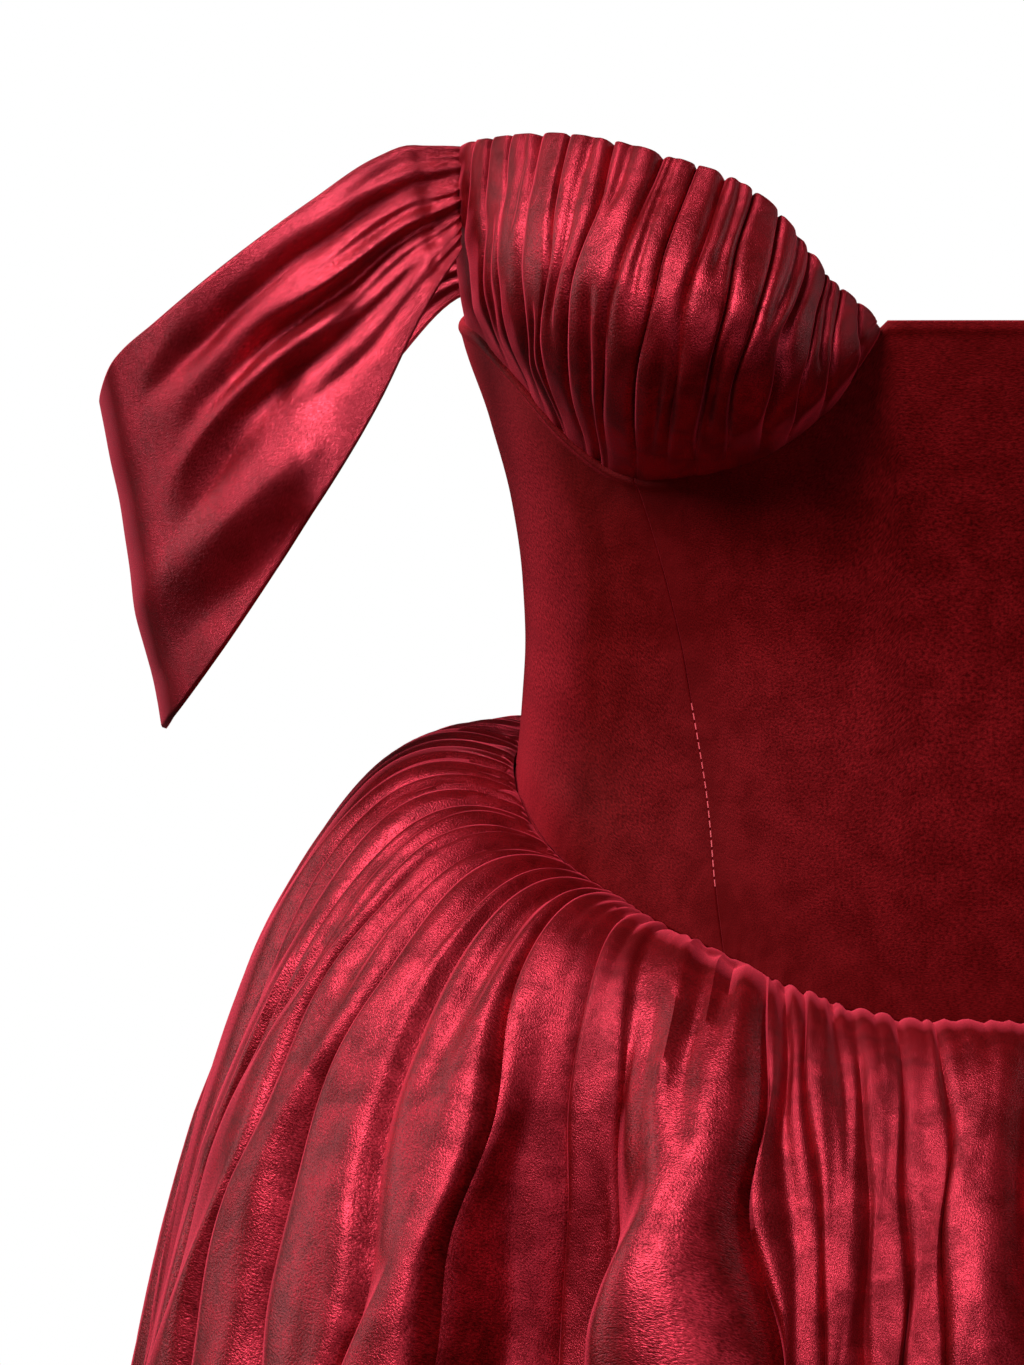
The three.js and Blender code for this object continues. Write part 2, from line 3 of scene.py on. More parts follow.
import bpy
import numpy as np
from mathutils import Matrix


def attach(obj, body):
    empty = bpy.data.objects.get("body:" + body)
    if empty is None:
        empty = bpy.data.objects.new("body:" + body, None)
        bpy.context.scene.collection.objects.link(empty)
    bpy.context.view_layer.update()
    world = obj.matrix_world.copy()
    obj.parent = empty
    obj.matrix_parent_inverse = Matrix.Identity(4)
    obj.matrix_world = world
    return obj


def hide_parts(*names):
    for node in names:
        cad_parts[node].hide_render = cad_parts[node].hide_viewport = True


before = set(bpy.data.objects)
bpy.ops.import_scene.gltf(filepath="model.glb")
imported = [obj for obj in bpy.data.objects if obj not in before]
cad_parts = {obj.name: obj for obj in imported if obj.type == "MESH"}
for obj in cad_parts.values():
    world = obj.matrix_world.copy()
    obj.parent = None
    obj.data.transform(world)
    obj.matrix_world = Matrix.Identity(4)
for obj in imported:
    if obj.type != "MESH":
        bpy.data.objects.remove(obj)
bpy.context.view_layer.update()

bpy.ops.object.select_all(action="DESELECT")
print("frame loaded")

# Sizes are in millimetres and angles in degrees from centre front, and laying a piece turns it to metres.
# The dress faces -Y, +X is the wearer's left and the waist is at height 0.

sides = ((1, "left"), (-1, "right"))


# a smooth curve through rows of (place, value), with no overshoot between them
def track(rows):
    at = np.array([row[0] for row in rows], float)
    to = np.array([row[1] for row in rows], float)
    steps = np.diff(to) / np.diff(at)
    before, after = steps[:-1], steps[1:]
    same = before * after > 0
    middle = np.where(same, 2 * before * after / np.where(same, before + after, 1), 0)
    slopes = np.concatenate([steps[:1], middle, steps[-1:]])

    def curve(x):
        x = np.clip(np.asarray(x, float), at[0], at[-1])
        i = np.clip(np.searchsorted(at, x, side="right") - 1, 0, len(steps) - 1)
        width = at[i + 1] - at[i]
        t = (x - at[i]) / width
        t2, t3 = t * t, t * t * t
        return ((2 * t3 - 3 * t2 + 1) * to[i] + (t3 - 2 * t2 + t) * width * slopes[i]
                + (3 * t2 - 2 * t3) * to[i + 1] + (t3 - t2) * width * slopes[i + 1])
    return curve


def mix(a, b, t):
    return a + (b - a) * t


def smooth(t):
    t = np.clip(t, 0, 1)
    return t * t * (3 - 2 * t)


# an uneven wave between -1 and 1, the same on each run
def sway(x, seed):
    return (0.5 * np.sin(x + 2.1 * seed) + 0.3 * np.sin(2.13 * x + 5.3 * seed)
            + 0.2 * np.sin(3.71 * x + 7.9 * seed))


def unit(v):
    return v / np.maximum(np.linalg.norm(v, axis=-1, keepdims=True), 1e-9)


# a fold's outline from valley to valley: a broad crown between steep sides
def fullArch(within, lean, steepness):
    within = np.clip(within + lean * within * (1 - within), 0, 1)
    return (1 - np.exp(-steepness * np.sin(np.pi * within))) / (1 - math.exp(-steepness))


# outward directions of a surface, turned to agree with a rough direction
def outwards(surface, u, v, facing, step=1e-3):
    alongU = surface(u + step, v) - surface(u - step, v)
    alongV = surface(u, v + step) - surface(u, v - step)
    normal = unit(np.cross(alongU, alongV))
    return normal * np.where((normal * facing).sum(-1, keepdims=True) < 0, -1, 1)


# The body's rings
figure = {
    "squareness": 2.2,  # 2 is an ellipse
    "halfWidth": [(-720, 158), (-560, 166), (-420, 177), (-300, 186), (-200, 189), (-130, 175),
                  (-90, 163), (-48, 150.5), (-20, 147.4), (0, 146.2), (20, 147.2), (48, 151),
                  (75, 158.3), (110, 169), (180, 172)],
    "front": [(-720, 93), (-560, 97), (-420, 103), (-300, 111), (-200, 118), (-130, 115), (-90, 110),
              (-48, 103), (-20, 98), (0, 96), (20, 96), (48, 98), (75, 100), (110, 101), (180, 92)],
    "back": [(-720, 98), (-560, 106), (-420, 117), (-300, 130), (-200, 138), (-130, 122), (-90, 108),
             (-48, 92), (-20, 84), (0, 82), (20, 83), (48, 86), (75, 90), (110, 92), (180, 86)],
}
halfWidthAt = track(figure["halfWidth"])
frontAt = track(figure["front"])
backAt = track(figure["back"])


def onFigure(angle, z):
    s, c = np.sin(np.radians(angle)), np.cos(np.radians(angle))
    power = 2 / figure["squareness"]
    x = np.sign(s) * halfWidthAt(z) * np.abs(s) ** power
    y = np.where(c > 0, -frontAt(z), backAt(z)) * np.abs(c) ** power
    return np.stack([x, y, z + 0 * x], -1)


def outOfFigure(angle, z):
    around = onFigure(angle + 0.5, z) - onFigure(angle - 0.5, z)
    up = onFigure(angle, z + 1) - onFigure(angle, z - 1)
    return unit(np.cross(around, up))


# Materials

def linear(hexColour):
    parts = [int(hexColour[i:i + 2], 16) / 255 for i in (1, 3, 5)]
    return [p / 12.92 if p <= 0.04045 else ((p + 0.055) / 1.055) ** 2.4 for p in parts] + [1]


def node(tree, kind, settings=None, **links):
    made = tree.nodes.new("ShaderNode" + kind)
    for name, value in (settings or {}).items():
        if hasattr(made, name):
            setattr(made, name, value)
        else:
            made.inputs[name].default_value = value
    for name, source in links.items():
        socket = made.inputs[int(name[1:])] if name[1:].isdigit() else made.inputs[name.replace("_", " ")]
        tree.links.new(source, socket)
    return made


def newMaterial(name, roughness):
    material = bpy.data.materials.new(name)
    material.use_nodes = True
    shader = material.node_tree.nodes["Principled BSDF"]
    shader.inputs["Roughness"].default_value = roughness
    return material, material.node_tree, shader


velvetPile = {
    "grainMm": 0.7,  # the real 0.3 mm is too fine to show
    "reliefMm": 0.4, "sheenRoughness": 0.25,
}


# Stretch velvet: short nylon pile on a knitted ground. Its colour is painted darkest where the cloth faces
# the eye and lightest where it turns away, as on its folds' edges: a painted sheen.
def stretchVelvet(name, look):
    material, tree, shader = newMaterial(name, look["roughness"])
    place = node(tree, "TexCoord")
    # where hands and wear have brushed the nap
    brushed = node(tree, "TexNoise", {"Scale": 1000 / look["brushedMm"], "Detail": 6.0, "Roughness": 0.62,
                                      "Distortion": 0.4}, Vector=place.outputs["Object"])
    patches = node(tree, "ValToRGB", Fac=brushed.outputs["Fac"])
    patches.color_ramp.elements[0].position = 0.38
    patches.color_ramp.elements[0].color = linear(look["deep"])
    patches.color_ramp.elements[1].position = 0.64
    patches.color_ramp.elements[1].color = linear(look["light"])
    pile = node(tree, "TexNoise", {"Scale": 1000 / velvetPile["grainMm"], "Detail": 1.0, "Roughness": 0.8},
                Vector=place.outputs["UV"])
    grain = node(tree, "MapRange", {"From Min": 0.3, "From Max": 0.7, "To Min": 0.5, "To Max": 1.5},
                 Value=pile.outputs["Fac"])
    # painted sheen: the base colour turns towards the shine colour where the cloth faces away from the eye
    turned = node(tree, "LayerWeight", {"Blend": 0.5})
    edge = node(tree, "MapRange", {"From Min": look["edgeFrom"], "From Max": 1.0, "To Min": 0.0,
                                   "To Max": look["edge"]}, Value=turned.outputs["Facing"])
    paintedSheenColour = node(tree, "Mix", {"data_type": "RGBA"}, Factor=edge.outputs["Result"])
    tree.links.new(patches.outputs["Color"], paintedSheenColour.inputs[6])
    paintedSheenColour.inputs[7].default_value = linear(look["shine"])
    colour = node(tree, "VectorMath", {"operation": "SCALE"}, _0=paintedSheenColour.outputs[2],
                  Scale=grain.outputs["Result"])
    tree.links.new(colour.outputs["Vector"], shader.inputs["Base Color"])
    lain = node(tree, "MapRange",
                {"From Min": 0.4, "From Max": 0.6, "To Min": look["dull"], "To Max": look["bright"]},
                Value=brushed.outputs["Fac"])
    gloss = node(tree, "Math", {"operation": "MULTIPLY"}, _0=lain.outputs["Result"],
                 _1=grain.outputs["Result"])
    tree.links.new(gloss.outputs["Value"], shader.inputs["Specular IOR Level"])
    height = node(tree, "Math", {"operation": "MULTIPLY_ADD"}, _0=brushed.outputs["Fac"],
                  _2=pile.outputs["Fac"])
    height.inputs[1].default_value = look["lie"]
    bump = node(tree, "Bump", {"Strength": look["bump"], "Distance": velvetPile["reliefMm"] / 1000},
                Height=height.outputs["Value"])
    tree.links.new(bump.outputs["Normal"], shader.inputs["Normal"])
    shader.inputs["IOR"].default_value = look["ior"]
    shader.inputs["Specular Tint"].default_value = linear(look["shine"])
    shader.inputs["Sheen Weight"].default_value = look["sheen"]
    shader.inputs["Sheen Roughness"].default_value = velvetPile["sheenRoughness"]
    shader.inputs["Sheen Tint"].default_value = linear(look["shine"])
    return material


# edge is how far the painted sheen lightens the colour where the cloth turns away from the eye
velvetLooks = {
    "bodice": {"deep": "#3e0202", "light": "#480303", "shine": "#f03a4c", "edge": 0.4, "edgeFrom": 0.3,
               "roughness": 0.6, "dull": 0.28, "bright": 0.48, "ior": 1.5, "sheen": 0.12, "brushedMm": 14,
               "lie": 0.45, "bump": 0.4},
    "gathered": {"deep": "#420202", "light": "#500303", "shine": "#ff4a62", "edge": 0.8, "edgeFrom": 0.62,
                 "roughness": 0.42, "dull": 0.42, "bright": 0.95, "ior": 2.0, "sheen": 0.07, "brushedMm": 12,
                 "lie": 0.9, "bump": 0.6},
    "sleeve": {"deep": "#440202", "light": "#520303", "shine": "#ff546a", "edge": 0.7, "edgeFrom": 0.62,
               "roughness": 0.36, "dull": 0.7, "bright": 1.0, "ior": 2.3, "sheen": 0.07, "brushedMm": 14,
               "lie": 0.8, "bump": 0.6},
}
bodiceVelvet = stretchVelvet("bodice_stretch_velvet", velvetLooks["bodice"])
gatheredVelvet = stretchVelvet("gathered_stretch_velvet", velvetLooks["gathered"])
sleeveVelvet = stretchVelvet("sleeve_stretch_velvet", velvetLooks["sleeve"])
print("velvet made")


# Laying a piece: a flat grid of cloth is added, its points go to their places on the surface, and it gets
# its thickness inwards. axis is a line up inside the piece that its face looks away from.
def layCloth(name, cad, surface, size, velvet, axis=(0, 0), upward=0):
    columns, rows = size["grid"]
    bpy.ops.object.select_all(action="DESELECT")
    bpy.ops.mesh.primitive_grid_add(x_subdivisions=columns, y_subdivisions=rows, size=1)
    piece = bpy.context.object
    piece.name = name
    mesh = piece.data
    flat = np.empty(len(mesh.vertices) * 3)
    mesh.vertices.foreach_get("co", flat)
    flat = flat.reshape(-1, 3) + 0.5
    mesh.vertices.foreach_set("co", (surface(flat[:, 0], flat[:, 1]) / 1000).astype(float).ravel())
    mesh.update()
    uvs = np.empty(len(mesh.loops) * 2)
    mesh.uv_layers.active.data.foreach_get("uv", uvs)
    uvs = uvs.reshape(-1, 2) * [size["width"] / 1000, size["length"] / 1000]
    mesh.uv_layers.active.data.foreach_set("uv", uvs.ravel())
    centres, normals = np.empty(len(mesh.polygons) * 3), np.empty(len(mesh.polygons) * 3)
    mesh.polygons.foreach_get("center", centres)
    mesh.polygons.foreach_get("normal", normals)
    centres, normals = centres.reshape(-1, 3), normals.reshape(-1, 3)
    away = unit(centres * [1, 1, 0] - [axis[0] / 1000, axis[1] / 1000, 0]) + [0, 0, upward]
    if (normals * away).sum() < 0:
        bpy.ops.object.mode_set(mode="EDIT")
        bpy.ops.mesh.select_all(action="SELECT")
        bpy.ops.mesh.flip_normals()
        bpy.ops.object.mode_set(mode="OBJECT")
    thickness = piece.modifiers.new("thickness", "SOLIDIFY")
    thickness.thickness = size["thickness"] / 1000
    thickness.offset = -1
    thickness.use_rim = True
    bpy.ops.object.modifier_apply(modifier="thickness")
    bpy.ops.object.shade_smooth_by_angle(angle=math.radians(55))  # the cut edges stay sharp
    piece.data.materials.clear()
    piece.data.materials.append(velvet)
    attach(piece, "root")
    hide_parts(cad)


# more columns or rows near both edges, where the cloth turns into its seams
def towardsEdges(t, pull):
    return t - pull * np.sin(2 * np.pi * t) / (2 * np.pi)


# how far cloth sinks beside a seam or a turned edge, as a quarter of a circle
def turnIn(distance, radius):
    d = np.clip(distance, 0, radius)
    return radius - np.sqrt(np.maximum(radius ** 2 - (radius - d) ** 2, 0))


# Bodice

bodice = {
    "princessAtWaistSeam": 27, "cupInner": 8.8, "cupOuter": 86,
    "princessCrease": 8,  # the princess seam ends under this one of the cup's creases
    "edgeRadius": 1.6, "lowerEdgeRadius": 0.8, "seamRadius": 0.7, "gap": 0.3, "seamGap": 0.06,
    "seamDepth": 0.6,  # as a share of a quarter of a circle
    "puckers": 0.5, "puckersReach": 7, "unevenness": 0.25,
    # the seam allowance folded in along the top edge stands out as a soft rib
    "rib": 0.7, "ribWidth": 1.7, "ribBelowEdge": 2.8,
    "waistSeam": [(0, -127), (6, -125.5), (12, -121.5), (18, -115.5), (26, -105), (35, -95.5), (45, -85),
                  (55, -75.5), (65, -65.5), (76, -54), (88, -43.5), (102, -36), (130, -31.5), (180, -29.5)],
    "topEdge": [(0, 104), (8.2, 104), (9.5, 98.5), (12.6, 85), (15.7, 75.5), (21.7, 64.1), (27.2, 58.5),
                (34.5, 54.6), (42, 53.4), (49.3, 57.3), (58.1, 69.7), (67.8, 90.1), (77.7, 104.5), (90, 109),
                (102, 114), (113, 130), (122, 146), (130, 146), (145, 124), (162, 106), (180, 101)],
}
waistSeamAt = track(bodice["waistSeam"])
topEdgeAt = track(bodice["topEdge"])

# creases between the cup's gathers: their places along the seam and the top edge, and how deep they are
cupCreases = [
    (0, 0, 1.2), (0.09, 0.045, 2.2), (0.17, 0.09, 3), (0.235, 0.14, 3.4), (0.285, 0.2, 5), (0.345, 0.295, 5),
    (0.395, 0.365, 4.4), (0.445, 0.43, 5), (0.5, 0.49, 3.6), (0.555, 0.56, 5), (0.605, 0.665, 4.4),
    (0.65, 0.755, 4), (0.7, 0.82, 3.6), (0.75, 0.875, 3.4), (0.81, 0.92, 3.2), (0.88, 0.96, 2.8),
    (1, 1, 1.6),
]
seamAngles = np.linspace(bodice["cupInner"], bodice["cupOuter"], 81)
seamPoints = onFigure(seamAngles, topEdgeAt(seamAngles))
seamLengths = np.concatenate([[0], np.cumsum(np.linalg.norm(np.diff(seamPoints, axis=0), axis=1))])
cupSeamAt = track(list(zip(seamLengths / seamLengths[-1], seamAngles)))
princessAtCup = float(cupSeamAt(cupCreases[bodice["princessCrease"]][0]))
millimetresPerDegree = 2.6  # round the figure, near enough for creases


# how far soft creases sink a place: each runs from one (angle, height) to another and fades at its ends
def creased(creases, angle, z):
    sink = 0 * z
    for fromAngle, fromZ, toAngle, toZ, width, depth in creases:
        run, rise = (toAngle - fromAngle) * millimetresPerDegree, toZ - fromZ
        x, y = (angle - fromAngle) * millimetresPerDegree, z - fromZ
        share = np.clip((x * run + y * rise) / (run ** 2 + rise ** 2), 0, 1)
        away = np.hypot(x - share * run, y - share * rise)
        sink = sink + depth * np.sin(np.pi * share) ** 0.7 * np.exp(-(away / width) ** 2)
    return sink


# a fitted panel between two heights, with its first and last angle at the bottom (low) and the top (high)
def panel(low, high, bottomAt, topAt, size, topTurn, bottomTurn, side=1,
          puckers=0.0, creases=(), rib=0.0):
    def surface(u, v):
        u, v = towardsEdges(u, 0.8), towardsEdges(v, 0.6)
        lowAngle, highAngle = mix(low[0], low[1], u), mix(high[0], high[1], u)
        bottom, top = bottomAt(np.abs(lowAngle)), topAt(np.abs(highAngle))
        z = mix(bottom, top, v)
        halfGap = np.degrees(bodice["seamGap"] / 2 / frontAt(z))
        angle = mix(lowAngle, highAngle, v) + halfGap * (1 - 2 * u)
        sink = turnIn(np.minimum(u, 1 - u) * size["across"], bodice["seamRadius"]) * bodice["seamDepth"]
        sink = sink + turnIn(top - z, topTurn) + turnIn(z - bottom, bottomTurn)
        sink = sink + bodice["unevenness"] * (1 + sway(angle / 9 + z / 31, 3)) + creased(creases, angle, z)
        sink = sink - rib * np.exp(-((top - z - bodice["ribBelowEdge"]) / bodice["ribWidth"]) ** 2)
        nearSeam = np.exp(-np.clip(z - bottom, 0, None) / bodice["puckersReach"])
        sink = sink + puckers * nearSeam * (0.5 + 0.5 * sway(angle * 1.9, 5))
        points = onFigure(angle, z) - outOfFigure(angle, z) * sink[..., None]
        # left and right meet at centre back
        meets = (u > 0.999) & (highAngle > 179.9)
        points[..., 0] = np.where(meets, bodice["seamGap"] / 2, points[..., 0])
        return points * [side, 1, 1]
    return surface


def aboveWaist(angle):
    return waistSeamAt(angle) + bodice["gap"] / 2


def belowWaist(angle):
    return waistSeamAt(angle) - bodice["gap"] / 2


def underCups(angle):
    return topEdgeAt(angle) - bodice["gap"] / 2


# a panel's flat width and length, its area in square metres, how wide it is on the body, and its grid
panelSizes = {
    "centreFront": {"width": 215, "length": 231, "area": 0.038, "thickness": 1.5, "across": 170,
                    "grid": (160, 110)},
    "sideFront": {"width": 125, "length": 165, "area": 0.016, "thickness": 1.5, "across": 100,
                  "grid": (80, 100)},
    "back": {"width": 222, "length": 185, "area": 0.03, "thickness": 1.5, "across": 190,
             "grid": (110, 90)},
}
# faint pulls beside the waist: from and to (angle, height), then width and depth
sidePulls = [(84, 22, 58, 6, 4, 0.7), (88, 4, 62, -14, 5, 0.8), (89, -14, 66, -34, 4, 0.6),
             (80, 60, 60, 38, 5, 0.5)]
backPulls = [(98, 20, 128, 8, 5, 0.8), (96, 2, 132, -8, 5, 0.9), (176, 30, 150, 18, 6, 0.6),
             (118, 90, 128, 50, 7, 0.6)]
low, high = bodice["princessAtWaistSeam"], princessAtCup
layCloth("bodice_centre_front_cloth", "bodice_centre_front",
         panel((-low, low), (-high, high), aboveWaist, underCups, panelSizes["centreFront"],
               bodice["edgeRadius"], bodice["lowerEdgeRadius"], puckers=bodice["puckers"],
               rib=bodice["rib"]),
         panelSizes["centreFront"], bodiceVelvet)
for side, hand in sides:
    layCloth("bodice_side_front_cloth_" + hand, "bodice_side_front_" + hand,
             panel((low, 90), (high, 90), aboveWaist, underCups, panelSizes["sideFront"],
                   bodice["edgeRadius"], bodice["lowerEdgeRadius"], side, bodice["puckers"], sidePulls,
                   bodice["rib"]),
             panelSizes["sideFront"], bodiceVelvet)
    layCloth("bodice_back_cloth_" + hand, "bodice_back_" + hand,
             panel((90, 180), (90, 180), aboveWaist, underCups, panelSizes["back"],
                   bodice["edgeRadius"], bodice["lowerEdgeRadius"], side, bodice["puckers"], backPulls,
                   bodice["rib"]),
             panelSizes["back"], bodiceVelvet)
print("bodice laid")


# The stitches that show along the lower half of each princess seam
stitch = {"length": 2.3, "radius": 0.22, "step": 3.2, "top": -22, "bottom": -80, "sunk": 0.35, "fibre": 0.3}


def sewingThread():
    material, tree, shader = newMaterial("polyester_sewing_thread", 0.5)
    place = node(tree, "TexCoord")
    fibres = node(tree, "TexNoise", {"Scale": 1000 / stitch["fibre"], "Detail": 2.0},
                  Vector=place.outputs["Object"])
    ramp = node(tree, "ValToRGB", Fac=fibres.outputs["Fac"])
    ramp.color_ramp.elements[0].color = linear("#a3202c")
    ramp.color_ramp.elements[1].color = linear("#d8505a")
    tree.links.new(ramp.outputs["Color"], shader.inputs["Base Color"])
    return material


thread = sewingThread()
seamBottom, seamTop = float(waistSeamAt(low)), float(topEdgeAt(high))


def princessAngleAt(z):
    return mix(low, high, (z - seamBottom) / (seamTop - seamBottom))


def onPrincessSeam(z):
    return onFigure(princessAngleAt(z), z)


def sewSeam(side, hand):
    bpy.ops.object.select_all(action="DESELECT")
    made = []
    for z in np.arange(stitch["bottom"], stitch["top"], stitch["step"]):
        middle = (onPrincessSeam(z) - outOfFigure(princessAngleAt(z), z) * stitch["sunk"]) * [side, 1, 1]
        ahead = unit(onPrincessSeam(z + 1) - onPrincessSeam(z)) * [side, 1, 1]
        turned = (0, math.acos(ahead[2]), math.atan2(ahead[1], ahead[0]))
        bpy.ops.mesh.primitive_cylinder_add(vertices=8, radius=stitch["radius"] / 1000,
                                            depth=stitch["length"] / 1000, location=middle / 1000,
                                            rotation=turned)
        made.append(bpy.context.object)
    for one in made:
        one.select_set(True)
    bpy.ops.object.join()
    row = bpy.context.object
    row.name = "princess_stitches_" + hand
    bpy.ops.object.transform_apply(location=True, rotation=True, scale=True)
    row.data.materials.clear()
    row.data.materials.append(thread)
    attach(row, "root")


for side, hand in sides:
    sewSeam(side, hand)
print("princess seams stitched")


# Cups

cup = {
    "tuckedIn": 2.5,  # below the bodice's edge
    "sunk": 1.9,  # and behind its face
    "turnedOut": 0.28,  # how far the fullness goes aside at the outer end, for 1 forward
    "steepness": 5.0,
    "drift": 0.2,  # how far a gather strays to either side, as a share of its width
    "shortWidth": 0.13, "unevenness": 0.5,
    # the top edge is rolled in, and rises over each gather
    "edgeTurn": 1.6, "edgeRise": 1.4, "edgeDrop": 0.6,
    # the grid has 15 columns to a gather
    "size": {"width": 300, "length": 170, "area": 0.026, "thickness": 1.1, "grid": (240, 64)},
    "topX": [(0, 33), (0.058, 40), (0.131, 49), (0.231, 58.5), (0.348, 70.5), (0.43, 81.5),
             (0.547, 99.5), (0.697, 122), (0.833, 143), (0.957, 161.5), (1, 168)],
    "topY": [(0, -103), (0.058, -107), (0.131, -110), (0.231, -113), (0.348, -115), (0.43, -115),
             (0.547, -113), (0.697, -105), (0.833, -92), (0.957, -70), (1, -58)],
    "topZ": [(0, 105), (0.058, 110.5), (0.131, 117), (0.231, 129.5), (0.348, 142.5), (0.43, 149),
             (0.547, 155.5), (0.697, 162), (0.833, 165), (0.957, 164.5), (1, 163)],
    "fullness": [(0, 1), (0.12, 16), (0.3, 38), (0.5, 47), (0.7, 40), (0.88, 17), (1, 4)],
    # smaller creases that start or end part of the way up a gather
    "short": [(2.5, 0.35, 1.0, 1.6), (4.45, 0.5, 1.0, 2.2), (5.6, 0.1, 0.55, 1.8), (6.5, 0.62, 1.0, 1.5),
              (7.4, 0.05, 0.5, 2.0), (8.55, 0.45, 1.0, 1.6), (9.45, 0.0, 0.6, 2.2), (9.6, 0.7, 1.0, 2.0),
              (10.5, 0.3, 1.0, 1.8), (11.4, 0.0, 0.5, 1.4), (12.5, 0.55, 1.0, 1.4), (13.5, 0.1, 0.7, 1.2)],
}
cupTopX, cupTopY, cupTopZ = track(cup["topX"]), track(cup["topY"]), track(cup["topZ"])
cupOutAt = track(cup["fullness"])
creaseSeam = np.array([row[0] for row in cupCreases])
creaseTop = np.array([row[1] for row in cupCreases])
creaseDepth = np.array([row[2] for row in cupCreases])
gathers = len(cupCreases) - 1


def cupBase(u, v):
    i = np.clip(np.floor(u).astype(int), 0, gathers - 1)
    within = u - i
    seamShare = mix(creaseSeam[i], creaseSeam[i + 1], within)
    topShare = mix(creaseTop[i], creaseTop[i + 1], within)
    angle = cupSeamAt(seamShare)
    z = topEdgeAt(angle) - cup["tuckedIn"]
    base = onFigure(angle, z) - outOfFigure(angle, z) * cup["sunk"]
    top = np.stack([cupTopX(topShare), cupTopY(topShare), cupTopZ(topShare)], -1)
    share = mix(seamShare, topShare, v)
    swell = cupOutAt(share) * np.sin(np.pi * np.clip(v, 0, 1) ** 0.9) ** 1.15
    forward = unit(np.stack([cup["turnedOut"] * share, -1 + 0 * share, 0 * share], -1))
    return mix(base, top, v[..., None]) + forward * swell[..., None]


def cupSurface(side):
    def surface(u, v):
        v = towardsEdges(v, 0.5)
        u = np.clip(u * gathers, 0.003, gathers - 0.003)
        inner = np.minimum(u, gathers - u)
        drift = cup["drift"] * smooth(inner) * sway(4.2 * v + 1.1 * u, 1) * np.sin(np.pi * v)
        v = np.clip(v, 0.002, 0.998)
        i = np.clip(np.floor(u).astype(int), 0, gathers - 1)
        within = u - i
        arch = fullArch(within, 0.8 * np.sin(2.4 * i + 0.7), cup["steepness"])
        near = np.where(within < 0.5, i, i + 1)
        crown = 1 - (1 - arch) * (0.72 + 0.28 * sway(3.3 * v + 2.9 * near, 4))
        depth = mix(creaseDepth[i], creaseDepth[i + 1], within) * (1 + 0.15 * sway(3.1 * v + 0.5 * u, 2))
        puff = crown * depth * mix(0.1, 1.0, smooth(v * 4))
        for place, start, end, deep in cup["short"]:
            run = smooth((v - start) / 0.16 + (start <= 0)) * smooth((end - v) / 0.16 + (end >= 1))
            off = u - place - 0.1 * np.sin(6 * v + place)
            puff = puff - deep * run * np.exp(-(off / cup["shortWidth"]) ** 2)
        puff = puff + cup["unevenness"] * sway(1.7 * u + 9 * v, 6)
        rim = np.clip((v - 0.93) / 0.07, 0, 1)
        flat = cupBase(u + drift, v)
        facing = np.stack([0.3 + 0 * u, -1 + 0 * u, 0.1 + 0 * u], -1)
        normal = outwards(cupBase, u + drift, v, facing)
        # the gathers rise straight out of the bodice's edge, and don't hang over it
        normal = unit(normal * np.stack([1 + 0 * u, 1 + 0 * u, smooth(v * 2.5)], -1))
        points = flat + normal * (puff - cup["edgeTurn"] * turnIn(1 - rim, 1.0))[..., None]
        points[..., 2] += (cup["edgeRise"] * crown - cup["edgeDrop"]) * rim
        return points * [side, 1, 1]
    return surface


for side, hand in sides:
    layCloth("cup_cloth_" + hand, "cup_" + hand, cupSurface(side), cup["size"], gatheredVelvet,
             axis=(side * 90, 20))
print("cups laid")


# Sleeves

